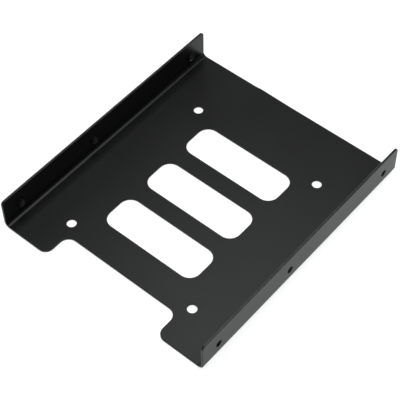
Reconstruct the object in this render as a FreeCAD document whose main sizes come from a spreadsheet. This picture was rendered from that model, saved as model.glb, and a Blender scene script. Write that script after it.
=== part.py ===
import FreeCAD, Part
import Sketcher
import math
import os

# Drive bay adapter bracket: one sheet of steel, punched and folded into a shallow channel.
# A small drive is screwed onto the plate between the two flanges, and the flanges are screwed
# to the sides of a larger drive bay.
#
# Frame: X across the bracket, Y along the flanges with the cable notch at -Y, Z up.
# The origin is the middle of the underside. All sizes are in millimetres.

SIZES = (
    ("sheet_thickness", 1.0, "steel sheet with its coating"),
    ("inside_bend_radius", 1.8, "inside of both folds"),
    ("outer_width", 101.0, "over the outer faces of the flanges"),
    ("flange_height", 14.7, "underside of the plate to the tip of a flange"),
    ("flange_corner_radius", 1.7, "rounded tips at the ends of the flanges"),
    ("bay_hole_span", 101.6, "front to rear side hole, the bay's standard"),
    ("bay_hole_middle", 41.6, "front to middle side hole, the bay's standard"),
    ("bay_hole_margin", 8.9, "end of a flange to its nearest side hole"),
    ("bay_hole_height", 7.1, "side holes above the underside"),
    ("bay_hole_bore", 2.7, "side hole, drilled for its thread"),
    ("bay_hole_lead_in", 0.25, "chamfer round the outer mouth of a side hole"),
    ("collar_diameter", 3.9, "collar drawn inwards round a side hole, for a longer thread"),
    ("collar_height", 1.0, "collar, from the inner face of a flange"),
    ("drive_hole_across", 61.72, "base holes across the bracket, the drive's standard"),
    ("drive_hole_along", 76.6, "base holes along the bracket, the drive's standard"),
    ("drive_hole_setback", 17.1, "front end to the front pair of base holes"),
    ("drive_hole_bore", 4.0, "clearance hole for a drive screw"),
    ("notch_width", 56.0, "cable notch in the front end"),
    ("notch_depth", 11.9, "cable notch, from the front end"),
    ("notch_inner_radius", 4.0, "inside corners of the cable notch"),
    ("tab_corner_radius", 3.75, "corners of the tabs beside the notch"),
    ("slot_count", 3, "air slots in the plate"),
    ("slot_length", 46.0, "air slot, across the bracket"),
    ("slot_width", 16.0, "air slot, along the bracket"),
    ("slot_corner_radius", 5.0, "corners of an air slot"),
    ("slot_bar", 7.9, "bar between two air slots"),
    ("front_bar", 13.9, "band between the notch and the first air slot"),
    ("witness_height", 0.25, "shear mark on the rear edge"),
    ("witness_start", -20.5, "left foot of the shear mark"),
    ("witness_peak", -18.0, "highest point of the shear mark"),
    ("witness_end", -2.0, "right foot of the shear mark"),
    ("rim_chamfer", 0.15, "deburred rims of the base holes and the air slots"),
    ("edge_rounding", 0.25, "coated edges round the outline of the sheet"),
)

# Places that several features share, as formulas in the sheet's names.
LENGTH = "(Sizes.bay_hole_span + 2 * Sizes.bay_hole_margin)"
HALF_LENGTH = "(Sizes.bay_hole_span / 2 + Sizes.bay_hole_margin)"
HALF_WIDTH = "(Sizes.outer_width / 2)"
SLOT_PITCH = "(Sizes.slot_width + Sizes.slot_bar)"
FIRST_SLOT_FRONT = f"({HALF_LENGTH} - Sizes.notch_depth - Sizes.front_bar)"

SHARP_ANGLE = 60.0  # degrees between the faces at an edge that is eased
TOLERANCE = 1e-6  # how far a place or a direction may be off and still count as the same

START, END, CENTRE = 1, 2, 3  # the points of a sketch line or arc
H_AXIS, V_AXIS = -1, -2  # a sketch's own axes
ORIGIN_POINT = (-1, 1)


def make_sheet(doc):
    """Writes the driving sizes, one row each: name, value, what it is."""
    sheet = doc.addObject("Spreadsheet::Sheet", "Sizes")
    for row, (name, value, note) in enumerate(SIZES, start=1):
        sheet.set(f"A{row}", name)
        sheet.set(f"B{row}", str(value))
        sheet.setAlias(f"B{row}", name)
        sheet.set(f"C{row}", note)
    doc.recompute()
    return sheet


def origin_plane(body, role):
    """One of the body's own origin planes, such as XY_Plane."""
    return next(item for item in body.Origin.OriginFeatures if item.Role == role)


def add_sketch(body, name, role):
    """An empty sketch on one of the body's origin planes."""
    sketch = body.newObject("Sketcher::SketchObject", name)
    sketch.AttachmentSupport = [(origin_plane(body, role), "")]
    sketch.MapMode = "FlatFace"
    return sketch


def value_of(item, formula):
    """What a formula in the sheet's names comes to."""
    return float(item.evalExpression(formula))


def constrain(sketch, *rules):
    """Adds constraints that carry no size."""
    for rule in rules:
        sketch.addConstraint(Sketcher.Constraint(*rule))


def dimension(sketch, name, formula, kind, *points):
    """Adds a named driving dimension, bound to the sheet."""
    rule = Sketcher.Constraint(kind, *points, value_of(sketch, formula))
    sketch.renameConstraint(sketch.addConstraint(rule), name)
    sketch.setExpression(f"Constraints.{name}", formula)


def add_line(sketch, start, end):
    """A sketch line between two (x, y) points; returns its index."""
    line = Part.LineSegment(FreeCAD.Vector(*start, 0), FreeCAD.Vector(*end, 0))
    return sketch.addGeometry(line, False)


def add_arc(sketch, centre, radius, from_degrees, to_degrees):
    """A sketch arc, anticlockwise between two directions; returns its index."""
    circle = Part.Circle(FreeCAD.Vector(*centre, 0), FreeCAD.Vector(0, 0, 1), radius)
    turn = (math.radians(from_degrees), math.radians(to_degrees))
    return sketch.addGeometry(Part.ArcOfCircle(circle, *turn), False)


def add_circle(sketch, centre, radius):
    """A sketch circle; returns its index."""
    circle = Part.Circle(FreeCAD.Vector(*centre, 0), FreeCAD.Vector(0, 0, 1), radius)
    return sketch.addGeometry(circle, False)


def add_rectangle(sketch, half_width, low, high):
    """A rectangle centred across the sketch, between two heights.

    The three measures are formulas in the sheet's names, and low and high are taken upwards
    from the sketch's origin. The names of the dimensions are width, low and high.
    """
    side, floor, roof = (value_of(sketch, text) for text in (half_width, low, high))
    corners = ((-side, floor), (side, floor), (side, roof), (-side, roof))
    lines = [add_line(sketch, corners[i], corners[(i + 1) % 4]) for i in range(4)]
    bottom, right, top, left = lines
    for line, after in zip(lines, lines[1:] + lines[:1]):
        constrain(sketch, ("Coincident", line, END, after, START))
    constrain(
        sketch,
        ("Horizontal", top),
        ("Vertical", right),
        ("Vertical", left),
        ("Symmetric", bottom, START, bottom, END, V_AXIS),
    )
    dimension(sketch, "width", f"2 * {half_width}", "DistanceX", bottom, START, bottom, END)
    dimension(sketch, "low", low, "DistanceY", *ORIGIN_POINT, bottom, START)
    dimension(sketch, "high", high, "DistanceY", *ORIGIN_POINT, top, START)


def edge_names(feature, wanted):
    """The names of a feature's edges that pass a test."""
    edges = enumerate(feature.Shape.Edges, start=1)
    return [f"Edge{number}" for number, edge in edges if wanted(edge)]


def runs_along(edge, axis):
    """Whether an edge is a straight line along X (0), Y (1) or Z (2)."""
    if not isinstance(edge.Curve, Part.Line):
        return False
    return abs(abs(edge.Curve.Direction[axis]) - 1) < TOLERANCE


def is_square(shape, edge):
    """Whether two faces of a shape meet at an edge at about a right angle."""
    faces = shape.ancestorsOfType(edge, Part.Face)
    if len(faces) != 2:
        return False
    point = edge.valueAt((edge.FirstParameter + edge.LastParameter) / 2)
    first, second = (face.normalAt(*face.Surface.parameter(point)) for face in faces)
    return math.degrees(first.getAngle(second)) > SHARP_ANGLE


def rims(shape):
    """The edges round the holes in the faces of a shape."""
    holes = [w for face in shape.Faces for w in face.Wires if not w.isSame(face.OuterWire)]
    return [edge for hole in holes for edge in hole.Edges]


def is_circle_about_x(edge):
    """Whether an edge is a whole circle about X, as each rim of a side hole and its collar is."""
    if not isinstance(edge.Curve, Part.Circle) or not edge.isClosed():
        return False
    return abs(abs(edge.Curve.Axis.x) - 1) < TOLERANCE


def add_fillet(body, base, name, wanted, formula):
    """Rounds the edges of a feature that pass a test."""
    fillet = body.newObject("PartDesign::Fillet", name)
    fillet.Base = (base, edge_names(base, wanted))
    fillet.setExpression("Radius", formula)
    body.Document.recompute()
    return fillet


def cut_through(body, name, sketch):
    """Cuts a sketch on the XY plane through the plate, both ways."""
    before = body.Shape.Volume
    pocket = body.newObject("PartDesign::Pocket", name)
    pocket.Profile = sketch
    pocket.SideType = "Symmetric"
    pocket.Type = "ThroughAll"
    body.Document.recompute()
    if pocket.Shape.Volume >= before:
        raise RuntimeError(f"{name} cuts nothing")
    return pocket


def add_channel(body):
    """The folded section: plate, two bends and two flanges, drawn once and padded."""
    sketch = add_sketch(body, "ChannelSection", "XZ_Plane")
    names = ("sheet_thickness", "inside_bend_radius", "flange_height")
    thick, inside, tip = (value_of(sketch, f"Sizes.{name}") for name in names)
    outside = inside + thick
    outer = value_of(sketch, HALF_WIDTH)
    inner = outer - thick
    bend = outer - outside

    under = add_line(sketch, (-bend, 0), (bend, 0))
    right_fold = add_arc(sketch, (bend, outside), outside, 270, 360)
    right_outer = add_line(sketch, (outer, outside), (outer, tip))
    right_tip = add_line(sketch, (outer, tip), (inner, tip))
    right_inner = add_line(sketch, (inner, tip), (inner, outside))
    right_hollow = add_arc(sketch, (bend, outside), inside, 270, 360)
    seat = add_line(sketch, (bend, thick), (-bend, thick))
    left_hollow = add_arc(sketch, (-bend, outside), inside, 180, 270)
    left_inner = add_line(sketch, (-inner, outside), (-inner, tip))
    left_tip = add_line(sketch, (-inner, tip), (-outer, tip))
    left_outer = add_line(sketch, (-outer, tip), (-outer, outside))
    left_fold = add_arc(sketch, (-bend, outside), outside, 180, 270)

    constrain(
        sketch,
        ("Tangent", under, END, right_fold, START),
        ("Tangent", right_fold, END, right_outer, START),
        ("Coincident", right_outer, END, right_tip, START),
        ("Coincident", right_tip, END, right_inner, START),
        ("Tangent", right_inner, END, right_hollow, END),
        ("Tangent", right_hollow, START, seat, START),
        ("Tangent", seat, END, left_hollow, END),
        ("Tangent", left_hollow, START, left_inner, START),
        ("Coincident", left_inner, END, left_tip, START),
        ("Coincident", left_tip, END, left_outer, START),
        ("Tangent", left_outer, END, left_fold, START),
        ("Tangent", left_fold, END, under, START),
        ("Coincident", right_fold, CENTRE, right_hollow, CENTRE),
        ("Coincident", left_fold, CENTRE, left_hollow, CENTRE),
        ("Horizontal", under),
        ("Horizontal", seat),
        ("Horizontal", right_tip),
        ("Horizontal", left_tip),
        ("Vertical", right_outer),
        ("Vertical", right_inner),
        ("Vertical", left_outer),
        ("Vertical", left_inner),
        ("PointOnObject", under, START, H_AXIS),
        ("Symmetric", left_tip, END, right_tip, START, V_AXIS),
        ("Equal", right_hollow, left_hollow),
    )
    dimension(sketch, "thickness", "Sizes.sheet_thickness", "DistanceY", under, END, seat, START)
    dimension(sketch, "inside_radius", "Sizes.inside_bend_radius", "Radius", right_hollow)
    dimension(sketch, "width", "Sizes.outer_width", "DistanceX", left_tip, END, right_tip, START)
    dimension(sketch, "tip_height", "Sizes.flange_height", "DistanceY", *ORIGIN_POINT, right_tip, START)

    channel = body.newObject("PartDesign::Pad", "Channel")
    channel.Profile = sketch
    channel.SideType = "Symmetric"
    channel.setExpression("Length", LENGTH)
    body.Document.recompute()
    return channel


def round_flange_corners(body, base):
    """Rounds the four tips of the flanges."""
    tip = value_of(base, "Sizes.flange_height")

    def at_a_tip(edge):
        return runs_along(edge, 0) and edge.CenterOfMass.z > tip - TOLERANCE

    return add_fillet(body, base, "FlangeCorners", at_a_tip, "Sizes.flange_corner_radius")


def cut_notch(body):
    """The cable notch in the front end, which leaves a tab on each side."""
    sketch = add_sketch(body, "NotchOutline", "XY_Plane")
    reach = f"-1 * {HALF_LENGTH} - Sizes.notch_depth"
    depth = f"-1 * {HALF_LENGTH} + Sizes.notch_depth"
    add_rectangle(sketch, "(Sizes.notch_width / 2)", reach, depth)
    notch = cut_through(body, "CableNotch", sketch)

    side = value_of(notch, "Sizes.notch_width / 2")
    front = -value_of(notch, HALF_LENGTH)

    def on_notch_side(edge):
        return runs_along(edge, 2) and abs(abs(edge.CenterOfMass.x) - side) < TOLERANCE

    def inside_corner(edge):
        return on_notch_side(edge) and edge.CenterOfMass.y > front + TOLERANCE

    def tab_corner(edge):
        return on_notch_side(edge) and edge.CenterOfMass.y < front + TOLERANCE

    corners = add_fillet(body, notch, "NotchCorners", inside_corner, "Sizes.notch_inner_radius")
    return add_fillet(body, corners, "TabCorners", tab_corner, "Sizes.tab_corner_radius")


def cut_slots(body):
    """The air slots: one is cut, repeated towards the rear, and then every corner is rounded."""
    sketch = add_sketch(body, "SlotOutline", "XY_Plane")
    near = f"-1 * {FIRST_SLOT_FRONT}"
    add_rectangle(sketch, "(Sizes.slot_length / 2)", near, f"{near} + Sizes.slot_width")
    slot = cut_through(body, "AirSlot", sketch)

    row = body.newObject("PartDesign::LinearPattern", "AirSlots")
    row.Originals = [slot]
    row.Direction = (sketch, ["V_Axis"])
    row.Mode = "Spacing"
    row.setExpression("Offset", SLOT_PITCH)
    row.setExpression("Occurrences", "Sizes.slot_count")
    body.Tip = row
    body.Document.recompute()

    end = value_of(row, "Sizes.slot_length / 2")

    def slot_corner(edge):
        return runs_along(edge, 2) and abs(abs(edge.CenterOfMass.x) - end) < TOLERANCE

    return add_fillet(body, row, "SlotCorners", slot_corner, "Sizes.slot_corner_radius")


def cut_drive_holes(body):
    """Four clearance holes on the corners of the small drive's screw pattern."""
    sketch = add_sketch(body, "DriveHolePattern", "XY_Plane")
    across = "(Sizes.drive_hole_across / 2)"
    front = f"-1 * {HALF_LENGTH} + Sizes.drive_hole_setback"
    rear = f"{front} + Sizes.drive_hole_along"
    bore = value_of(sketch, "Sizes.drive_hole_bore")
    x = value_of(sketch, across)

    pairs = []
    for name, height in (("front", front), ("rear", rear)):
        y = value_of(sketch, height)
        left, right = (add_circle(sketch, (side * x, y), bore / 2) for side in (-1, 1))
        constrain(sketch, ("Symmetric", left, CENTRE, right, CENTRE, V_AXIS))
        dimension(sketch, f"{name}_across", f"2 * {across}", "DistanceX", left, CENTRE, right, CENTRE)
        dimension(sketch, f"{name}_place", height, "DistanceY", *ORIGIN_POINT, left, CENTRE)
        pairs += [left, right]
    for circle in pairs[1:]:
        constrain(sketch, ("Equal", pairs[0], circle))
    dimension(sketch, "bore", "Sizes.drive_hole_bore", "Diameter", pairs[0])
    return cut_through(body, "DriveHoles", sketch)


def bay_hole_circles(body, sketch_name, offset, diameter):
    """A sketch across the right flange, with a circle at the place of each side hole."""
    sketch = add_sketch(body, sketch_name, "YZ_Plane")
    sketch.setExpression("AttachmentOffset.Base.z", offset)
    front = "-1 * (Sizes.bay_hole_span / 2)"
    places = (
        ("front", front),
        ("middle", f"{front} + Sizes.bay_hole_middle"),
        ("rear", f"{front} + Sizes.bay_hole_span"),
    )
    height = value_of(sketch, "Sizes.bay_hole_height")
    radius = value_of(sketch, diameter) / 2
    circles = []
    for name, place in places:
        circle = add_circle(sketch, (value_of(sketch, place), height), radius)
        dimension(sketch, f"{name}_place", place, "DistanceX", *ORIGIN_POINT, circle, CENTRE)
        level = ("DistanceY", *ORIGIN_POINT, circle, CENTRE)
        dimension(sketch, f"{name}_height", "Sizes.bay_hole_height", *level)
        circles.append(circle)
    for circle in circles[1:]:
        constrain(sketch, ("Equal", circles[0], circle))
    dimension(sketch, "diameter", diameter, "Diameter", circles[0])
    body.Document.recompute()
    return sketch


def cut_bay_holes(body):
    """Three tapping holes in the right flange with their collars, then mirrored to the left."""
    middle_of_wall = f"{HALF_WIDTH} - Sizes.sheet_thickness / 2"
    collar = body.newObject("PartDesign::Pad", "Collars")
    collar.Profile = bay_hole_circles(body, "CollarPattern", middle_of_wall, "Sizes.collar_diameter")
    collar.Reversed = True
    collar.setExpression("Length", "Sizes.sheet_thickness / 2 + Sizes.collar_height")
    body.Document.recompute()

    pattern = bay_hole_circles(body, "BayHolePattern", HALF_WIDTH, "Sizes.bay_hole_bore")
    before = body.Shape.Volume
    holes = body.newObject("PartDesign::Hole", "BayHoles")
    holes.Profile = pattern
    holes.ThreadType = "None"
    holes.DepthType = "Dimension"
    holes.DrillPoint = "Flat"
    holes.HoleCutType = "Countersink"
    holes.HoleCutCountersinkAngle = 90
    holes.setExpression("Diameter", "Sizes.bay_hole_bore")
    holes.setExpression("Depth", "2 * Sizes.sheet_thickness + Sizes.collar_height")
    holes.setExpression("HoleCutDiameter", "Sizes.bay_hole_bore + 2 * Sizes.bay_hole_lead_in")
    body.Document.recompute()
    if holes.Shape.Volume >= before:
        raise RuntimeError("BayHoles cut nothing")

    pairs = body.newObject("PartDesign::Mirrored", "BayHolesBothSides")
    pairs.Originals = [collar, holes]
    pairs.MirrorPlane = (origin_plane(body, "YZ_Plane"), [""])
    body.Tip = pairs
    body.Document.recompute()
    return pairs


def add_witness(body):
    """The low hump that the shear left on the rear edge, part of the sheet's own outline."""
    sketch = add_sketch(body, "WitnessOutline", "XY_Plane")
    rear = HALF_LENGTH
    foot, peak, toe = (f"Sizes.witness_{name}" for name in ("start", "peak", "end"))
    crest = f"{rear} + Sizes.witness_height"
    corners = ((foot, rear), (toe, rear), (peak, crest))
    points = [(value_of(sketch, x), value_of(sketch, y)) for x, y in corners]
    lines = [add_line(sketch, points[i], points[(i + 1) % 3]) for i in range(3)]
    for line, after in zip(lines, lines[1:] + lines[:1]):
        constrain(sketch, ("Coincident", line, END, after, START))
    for name, line, (x, y) in zip(("foot", "toe", "crest"), lines, corners):
        dimension(sketch, f"{name}_x", x, "DistanceX", *ORIGIN_POINT, line, START)
        dimension(sketch, f"{name}_y", y, "DistanceY", *ORIGIN_POINT, line, START)

    witness = body.newObject("PartDesign::Pad", "ShearWitness")
    witness.Profile = sketch
    witness.setExpression("Length", "Sizes.sheet_thickness")
    body.Document.recompute()
    return witness


def ease_edges(body, base):
    """Chamfers the rims of the cut-outs and rounds the outline, where the faces are square.

    The rims of the side holes are left as they were drawn and tapped.
    """
    inner = [rim for rim in rims(base.Shape) if not is_circle_about_x(rim)]

    def square_rim(edge):
        return is_square(base.Shape, edge) and any(edge.isSame(rim) for rim in inner)

    chamfer = body.newObject("PartDesign::Chamfer", "DeburredRims")
    chamfer.Base = (base, edge_names(base, square_rim))
    chamfer.setExpression("Size", "Sizes.rim_chamfer")
    body.Document.recompute()

    def square_outline(edge):
        return is_square(chamfer.Shape, edge) and not is_circle_about_x(edge)

    return add_fillet(body, chamfer, "CoatedEdges", square_outline, "Sizes.edge_rounding")


def make_bracket(doc):
    """The whole bracket: one folded sheet."""
    body = doc.addObject("PartDesign::Body", "Bracket")
    body.Label = "bracket"
    body.Placement = FreeCAD.Placement()
    channel = add_channel(body)
    round_flange_corners(body, channel)
    cut_notch(body)
    cut_slots(body)
    cut_drive_holes(body)
    cut_bay_holes(body)
    witness = add_witness(body)
    ease_edges(body, witness)
    return body


def check(doc, body):
    """Stops before anything is written if a feature or the solid is not sound."""
    for item in doc.Objects:
        if "Invalid" in item.State or "Error" in item.State:
            raise RuntimeError(f"{item.Name} failed: {item.State}")
    shape = body.Shape
    if shape.isNull() or not shape.isValid() or len(shape.Solids) != 1:
        raise RuntimeError(f"{body.Label} is not one sound solid")


def main():
    doc = FreeCAD.newDocument("DriveBayAdapterBracket")
    make_sheet(doc)
    bracket = make_bracket(doc)
    doc.recompute()
    check(doc, bracket)
    os.makedirs("parts", exist_ok=True)
    bracket.Shape.exportStep(f"parts/{bracket.Label}.step")
    box = bracket.Shape.optimalBoundingBox(False)
    print(f"{bracket.Label}: volume {bracket.Shape.Volume:.1f} mm3, {len(bracket.Shape.Faces)} faces")
    print(f"box {box.XLength:.2f} x {box.YLength:.2f} x {box.ZLength:.2f} mm")


main()
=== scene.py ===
import math

import bpy
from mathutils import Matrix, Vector


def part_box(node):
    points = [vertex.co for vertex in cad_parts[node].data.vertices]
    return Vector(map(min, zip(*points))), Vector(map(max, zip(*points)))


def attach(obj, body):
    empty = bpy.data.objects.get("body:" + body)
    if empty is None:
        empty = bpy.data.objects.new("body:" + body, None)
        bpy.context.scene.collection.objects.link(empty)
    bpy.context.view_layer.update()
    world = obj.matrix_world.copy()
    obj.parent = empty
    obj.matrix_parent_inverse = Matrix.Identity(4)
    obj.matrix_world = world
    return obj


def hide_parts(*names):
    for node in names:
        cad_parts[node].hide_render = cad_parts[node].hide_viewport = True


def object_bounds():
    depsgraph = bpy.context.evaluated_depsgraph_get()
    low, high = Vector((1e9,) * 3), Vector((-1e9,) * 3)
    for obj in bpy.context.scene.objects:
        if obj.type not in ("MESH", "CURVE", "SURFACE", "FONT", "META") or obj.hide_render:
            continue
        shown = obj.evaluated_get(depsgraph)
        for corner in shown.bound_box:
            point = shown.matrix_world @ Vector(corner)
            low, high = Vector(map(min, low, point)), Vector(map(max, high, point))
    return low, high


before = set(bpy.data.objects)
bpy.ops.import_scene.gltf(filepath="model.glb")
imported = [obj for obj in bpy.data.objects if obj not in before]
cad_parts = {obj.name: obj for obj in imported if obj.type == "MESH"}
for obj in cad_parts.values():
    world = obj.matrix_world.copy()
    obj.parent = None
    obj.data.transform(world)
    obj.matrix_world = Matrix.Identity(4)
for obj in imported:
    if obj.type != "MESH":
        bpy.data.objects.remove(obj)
cad_low, cad_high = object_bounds()

# Drive bay adapter bracket: one folded steel sheet, coated with black powder, on a white table.
# The coated sheet stands for the bracket of the frame and keeps its form. It adds the grain of the
# coat, and the thread of the side holes, which is cut through the coat. Lengths are in metres, as
# in the frame, and the scale of a noise is a number per metre.

MM = 0.001

CAMERA_PLACE = (201.754 * MM, -234.847 * MM, 400.009 * MM)
CAMERA_TURN = (37.6497, 0.5225, 40.1797)  # degrees about X, Y and Z
CAMERA_LENS = 114.93  # millimetres, as is the width of the sensor
SENSOR_WIDTH = 36.0
CAMERA_NEAREST = 10 * MM

# The 6-32 thread of the side holes. Its crests are the bores of the frame.
THREAD_PITCH = 0.794 * MM
THREAD_ROOT_RADIUS = 1.753 * MM
THREAD_ROOT_FLAT = THREAD_PITCH / 8
THREAD_FLANK = math.radians(30)
THREAD_START_RADIUS = 1.25 * MM  # inside the bore, so that the cutter is open to it
THREAD_RUN_OUT = 0.6 * MM  # how far the cutter passes each end of the hole
STEPS_PER_TURN = 48

SHEET = 1.0 * MM
COLLAR_HEIGHT = 1.0 * MM  # inwards from a flange, round each side hole
SIDE_HOLE_HEIGHT = 7.1 * MM
SIDE_HOLE_SPAN = 101.6 * MM  # from the front hole of a flange to the rear one
SIDE_HOLE_MIDDLE = 41.6 * MM  # from the front hole to the middle one

WELD_DISTANCE = 0.001 * MM
SHARP_ANGLE = math.radians(35)
FLAT = 0.99999  # the least largest part of the normal of a face that lies square to an axis

NOISE_LEVELS = (0.3, 0.7)  # nearly all of a noise lies between these

COAT_GREYS = (0.0030, 0.0042)
COAT_IOR = 1.29  # low for a resin: the fine grain takes away some of the gloss
COAT_ROUGHNESS = (0.30, 0.34)
CLOUD_SCALE = 45.0  # the slow change of tone and gloss
PEEL_SCALE = 520.0
PEEL_STRENGTH = 0.25
PEEL_DEPTH = 0.03 * MM
GRAIN_SCALE = 2600.0
GRAIN_STRENGTH = 0.35
GRAIN_DEPTH = 0.02 * MM

# Painted highlight: the coat is painted paler in patches along the tips of the flanges.
TIP_HIGHLIGHT_GREY = 0.024
TIP_HIGHLIGHT_DEPTH = 0.25 * MM  # down from the tips
TIP_HIGHLIGHT_SHARES = (0.3, 1.0)  # how much of that grey shows, from patch to patch
PATCH_SCALE = 300.0

STEEL_GREYS = (0.055, 0.10)  # dark for bare steel, from oil
STEEL_ROUGHNESS = 0.4
STAIN_SCALE = 900.0

TABLE_DROP = 0.1 * MM  # the table lies this far below the sheet
TABLE_SIZE = 6.0
TABLE_COLOUR = 0.35
TABLE_GLOW = 0.74  # with the light that the table gives back, this shows as white

# The room that lights the bracket. The near wall and the backdrop fade in from their first turn to
# their second, which are cosines of the angle from their side. The backdrop fades out from its
# first top to its second, which are sines of the angle above the horizon.
LIGHT_COLOUR = (0.965, 1.0, 0.986)
NEAR_SIDE = (0.0, -1.0, 0.0)
NEAR_TURNS = (-0.1, 0.6)
NEAR_WALL = 0.96
FAR_WALL = 0.032
BACKDROP_SIDE = (-0.77, 0.64, 0.0)
BACKDROP_TURNS = (0.35, 0.75)
BACKDROP_TOPS = (0.48, 0.62)
BACKDROP = 1.8
SOFTBOX_PLACE = (0.17, 0.22, 0.80)
SOFTBOX_SIZE = (1.14, 0.58)
SOFTBOX_POWER = 7.6


class Nodes:
    """Adds shader nodes to one tree and links them in a line of code each."""

    def __init__(self, tree):
        self.tree = tree
        tree.nodes.clear()

    def add(self, kind, values=None, **settings):
        """A node with its settings, and with its inputs set or linked by name or number."""
        node = self.tree.nodes.new(kind)
        for name, value in settings.items():
            setattr(node, name, value)
        for key, value in (values or {}).items():
            if isinstance(value, bpy.types.NodeSocket):
                self.tree.links.new(value, node.inputs[key])
            else:
                node.inputs[key].default_value = value
        return node

    def noise(self, place, scale, detail=2.0, roughness=0.5):
        """The level of a noise."""
        values = {"Vector": place, "Scale": scale, "Detail": detail, "Roughness": roughness}
        return self.add("ShaderNodeTexNoise", values).outputs["Fac"]

    def calculate(self, operation, first, second):
        """The result of an operation on two numbers."""
        return self.add("ShaderNodeMath", {0: first, 1: second}, operation=operation).outputs[0]

    def fade(self, value, span, levels=(0.0, 1.0), shape="LINEAR"):
        """A number that goes from one level to the other as a value goes across a span."""
        values = {
            "Value": value,
            "From Min": span[0],
            "From Max": span[1],
            "To Min": levels[0],
            "To Max": levels[1],
        }
        return self.add("ShaderNodeMapRange", values, interpolation_type=shape).outputs[0]

    def mix(self, factor, first, second):
        """A colour that goes from the first to the second as the factor goes from 0 to 1."""
        values = {"Factor": factor, "A": first, "B": second}
        return self.add("ShaderNodeMix", values, data_type="RGBA").outputs["Result"]

    def bump(self, height, strength, depth, **more):
        """The surface's normal, or the one given as Normal, bent by a height."""
        values = {"Height": height, "Strength": strength, "Distance": depth, **more}
        return self.add("ShaderNodeBump", values).outputs["Normal"]


def new_material(name):
    """An empty material, and the nodes to fill it with."""
    material = bpy.data.materials.new(name)
    material.use_nodes = True
    return material, Nodes(material.node_tree)


def grey(level):
    """An opaque grey as a colour."""
    return (level, level, level, 1.0)


def helix_cutter(name, start, side, length, material):
    """A closed helical ridge with the profile of a thread groove, along X from start. What it cuts
    takes its material."""
    half_root = THREAD_ROOT_FLAT / 2
    half_open = half_root + (THREAD_ROOT_RADIUS - THREAD_START_RADIUS) * math.tan(THREAD_FLANK)
    profile = (
        (THREAD_START_RADIUS, -half_open),
        (THREAD_START_RADIUS, half_open),
        (THREAD_ROOT_RADIUS, half_root),
        (THREAD_ROOT_RADIUS, -half_root),
    )
    steps = round(length / THREAD_PITCH * STEPS_PER_TURN)
    points = []
    for step in range(steps + 1):
        turn = 2 * math.pi * step / STEPS_PER_TURN
        advance = THREAD_PITCH * step / STEPS_PER_TURN
        for radius, along in profile:
            offset = (
                side * (advance + along),
                side * radius * math.cos(turn),
                radius * math.sin(turn),
            )
            points.append(Vector(start) + Vector(offset))

    count = len(profile)
    faces = []
    for step in range(steps):
        near, far = step * count, (step + 1) * count
        for i in range(count):
            j = (i + 1) % count
            faces.append((near + i, near + j, far + j, far + i))
    faces.append(tuple(range(count))[::-1])
    faces.append(tuple(steps * count + i for i in range(count)))

    mesh = bpy.data.meshes.new(name)
    mesh.from_pydata(points, [], faces)
    mesh.materials.append(material)
    cutter = bpy.data.objects.new(name, mesh)
    bpy.context.scene.collection.objects.link(cutter)
    return cutter


def thread_cutters(material):
    """One cutter for each of the six side holes."""
    low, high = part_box("bracket")
    front = -SIDE_HOLE_SPAN / 2
    places = (front, front + SIDE_HOLE_MIDDLE, front + SIDE_HOLE_SPAN)
    length = SHEET + COLLAR_HEIGHT + 2 * THREAD_RUN_OUT
    cutters = []
    for side, outer in ((-1, low.x), (1, high.x)):
        inner = outer - side * (SHEET + COLLAR_HEIGHT + THREAD_RUN_OUT)
        for y in places:
            start = (inner, y, low.z + SIDE_HOLE_HEIGHT)
            cutters.append(helix_cutter(f"cutter_{len(cutters)}", start, side, length, material))
    return cutters


def shade(mesh):
    """Gives the flat faces one even normal, and runs the rounds between them smoothly into them."""
    flat = [max(abs(part) for part in face.normal) > FLAT for face in mesh.polygons]
    around = [[] for _ in mesh.vertices]
    for face in mesh.polygons:
        for corner in face.vertices:
            around[corner].append(face)

    limit = math.cos(SHARP_ANGLE)
    normals = []
    for face in mesh.polygons:
        for corner in face.vertices:
            near = [other for other in around[corner] if other.normal.dot(face.normal) > limit]
            level = [other for other in near if flat[other.index]]
            if level:
                nearest = max(level, key=lambda other: other.normal.dot(face.normal))
                normals.append(nearest.normal.copy())
            else:
                mean = sum((other.normal * other.area for other in near), Vector())
                normals.append(mean.normalized())
    mesh.shade_smooth()
    mesh.normals_split_custom_set(normals)


def make_coated_sheet(node, coat, bare):
    """The bracket with its threads cut and its faces shaded as one folded sheet."""
    mesh = node.data.copy()
    mesh.materials.clear()
    mesh.materials.append(coat)
    sheet = bpy.data.objects.new("coated_sheet", mesh)
    bpy.context.scene.collection.objects.link(sheet)
    weld = sheet.modifiers.new("weld", "WELD")
    weld.merge_threshold = WELD_DISTANCE
    cutters = thread_cutters(bare)
    for cutter in cutters:
        cut = sheet.modifiers.new("thread", "BOOLEAN")
        cut.operation = "DIFFERENCE"
        cut.solver = "EXACT"
        cut.material_mode = "TRANSFER"
        cut.object = cutter
    ready = sheet.evaluated_get(bpy.context.evaluated_depsgraph_get())
    sheet.data = bpy.data.meshes.new_from_object(ready)
    sheet.modifiers.clear()
    for cutter in cutters:
        bpy.data.meshes.remove(cutter.data)

    sheet.data.name = sheet.name
    shade(sheet.data)
    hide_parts("bracket")
    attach(sheet, "root")


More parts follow.
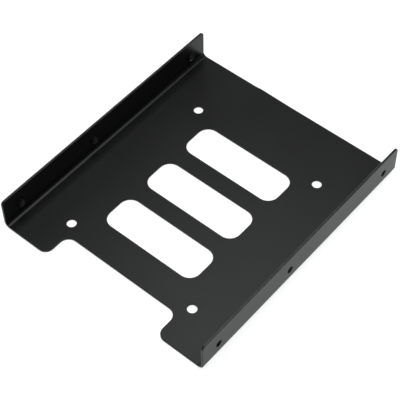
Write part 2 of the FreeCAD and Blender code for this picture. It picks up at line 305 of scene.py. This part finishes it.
def powder_coat():
    """Black powder coat: satin, with a fine grain and a shallow orange peel, and a painted
    highlight, paler in patches, along the tips of the flanges."""
    material, nodes = new_material("black_powder_coat")
    place = nodes.add("ShaderNodeTexCoord").outputs["Object"]
    grain = nodes.noise(place, GRAIN_SCALE, roughness=0.6)
    peel = nodes.noise(place, PEEL_SCALE, detail=1.0)
    cloud = nodes.noise(place, CLOUD_SCALE)
    patch = nodes.noise(place, PATCH_SCALE)

    tone = nodes.mix(cloud, *(grey(level) for level in COAT_GREYS))
    height = nodes.add("ShaderNodeSeparateXYZ", {0: place}).outputs["Z"]
    # Painted highlight: the base colour turns paler in patches along the tips of the flanges.
    tip = nodes.fade(height, (cad_high.z - TIP_HIGHLIGHT_DEPTH, cad_high.z - TIP_HIGHLIGHT_DEPTH / 2))
    patches = nodes.fade(patch, NOISE_LEVELS, TIP_HIGHLIGHT_SHARES)
    painted_tip_highlight = nodes.calculate("MULTIPLY", tip, patches)
    waves = nodes.bump(peel, PEEL_STRENGTH, PEEL_DEPTH)
    shader = nodes.add(
        "ShaderNodeBsdfPrincipled",
        {
            "Base Color": nodes.mix(painted_tip_highlight, tone, grey(TIP_HIGHLIGHT_GREY)),
            "Roughness": nodes.fade(cloud, NOISE_LEVELS, COAT_ROUGHNESS),
            "Normal": nodes.bump(grain, GRAIN_STRENGTH, GRAIN_DEPTH, Normal=waves),
            "IOR": COAT_IOR,
        },
    )
    nodes.add("ShaderNodeOutputMaterial", {"Surface": shader.outputs["BSDF"]})
    return material


def bare_thread():
    """Steel that the tap has bared, unevenly dark with oil."""
    material, nodes = new_material("bare_thread")
    place = nodes.add("ShaderNodeTexCoord").outputs["Object"]
    stain = nodes.noise(place, STAIN_SCALE)
    tone = nodes.mix(stain, *(grey(level) for level in STEEL_GREYS))
    shader = nodes.add(
        "ShaderNodeBsdfPrincipled",
        {"Base Color": tone, "Metallic": 1.0, "Roughness": STEEL_ROUGHNESS},
    )
    nodes.add("ShaderNodeOutputMaterial", {"Surface": shader.outputs["BSDF"]})
    return material


def shown_rays(nodes):
    """One for camera, glossy and transmission rays, which see the white of the studio, else zero."""
    path = nodes.add("ShaderNodeLightPath").outputs
    some = nodes.calculate("MAXIMUM", path["Is Camera Ray"], path["Is Glossy Ray"])
    return nodes.calculate("MAXIMUM", some, path["Is Transmission Ray"])


def light_colour(nodes):
    """White to the camera, and the colour of the studio's light to everything else."""
    path = nodes.add("ShaderNodeLightPath").outputs
    return nodes.mix(path["Is Camera Ray"], (*LIGHT_COLOUR, 1.0), grey(1.0))


def make_table():
    """A white table: it takes the shadow, and shows as white to the camera and in the gloss."""
    material, nodes = new_material("white_table")
    glow = nodes.calculate("MULTIPLY", shown_rays(nodes), TABLE_GLOW)
    lit = nodes.add("ShaderNodeBsdfDiffuse", {"Color": grey(TABLE_COLOUR)})
    white = nodes.add("ShaderNodeEmission", {"Color": light_colour(nodes), "Strength": glow})
    both = nodes.add("ShaderNodeAddShader", {0: lit.outputs[0], 1: white.outputs[0]})
    nodes.add("ShaderNodeOutputMaterial", {"Surface": both.outputs[0]})

    half = TABLE_SIZE / 2
    level = cad_low.z - TABLE_DROP
    corners = [(-half, -half, level), (half, -half, level), (half, half, level), (-half, half, level)]
    mesh = bpy.data.meshes.new("table")
    mesh.from_pydata(corners, [], [(0, 1, 2, 3)])
    mesh.materials.append(material)
    table = bpy.data.objects.new("table", mesh)
    bpy.context.scene.collection.objects.link(table)


def make_world():
    """The room: white to the camera. For the light, its near wall is pale and its far wall dark,
    with a low pale backdrop behind the left of the bracket."""
    world = bpy.data.worlds.new("studio")
    bpy.context.scene.world = world
    world.use_nodes = True
    nodes = Nodes(world.node_tree)
    path = nodes.add("ShaderNodeLightPath").outputs
    direction = nodes.add("ShaderNodeTexCoord").outputs["Generated"]
    height = nodes.add("ShaderNodeSeparateXYZ", {0: direction}).outputs["Z"]

    def towards(side, turns, levels):
        """A level that changes smoothly as the direction turns towards a side."""
        turn = nodes.add("ShaderNodeVectorMath", {0: direction, 1: side}, operation="DOT_PRODUCT")
        return nodes.fade(turn.outputs["Value"], turns, levels, "SMOOTHSTEP")

    walls = towards(NEAR_SIDE, NEAR_TURNS, (FAR_WALL, NEAR_WALL))
    across = towards(BACKDROP_SIDE, BACKDROP_TURNS, (0.0, BACKDROP))
    low_down = nodes.fade(height, BACKDROP_TOPS, (1.0, 0.0), "SMOOTHSTEP")
    room = nodes.calculate("ADD", walls, nodes.calculate("MULTIPLY", across, low_down))
    strength = nodes.calculate("MAXIMUM", room, path["Is Camera Ray"])
    background = nodes.add("ShaderNodeBackground", {"Color": light_colour(nodes), "Strength": strength})
    nodes.add("ShaderNodeOutputWorld", {"Surface": background.outputs[0]})


def make_softbox():
    """The key light: one soft lamp that hangs level above the bracket."""
    light = bpy.data.lights.new("softbox", "AREA")
    light.shape = "RECTANGLE"
    light.size, light.size_y = SOFTBOX_SIZE
    light.color = LIGHT_COLOUR
    light.energy = SOFTBOX_POWER
    lamp = bpy.data.objects.new("softbox", light)
    lamp.location = SOFTBOX_PLACE
    bpy.context.scene.collection.objects.link(lamp)


def make_camera():
    """The photograph's point of view."""
    data = bpy.data.cameras.new("camera")
    data.sensor_width = SENSOR_WIDTH
    data.lens = CAMERA_LENS
    data.clip_start = CAMERA_NEAREST
    camera = bpy.data.objects.new("camera", data)
    camera.location = CAMERA_PLACE
    camera.rotation_euler = [math.radians(angle) for angle in CAMERA_TURN]
    bpy.context.scene.collection.objects.link(camera)
    bpy.context.scene.camera = camera


make_coated_sheet(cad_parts["bracket"], powder_coat(), bare_thread())
make_table()
make_world()
make_softbox()
make_camera()
bpy.context.scene.view_settings.view_transform = "Standard"
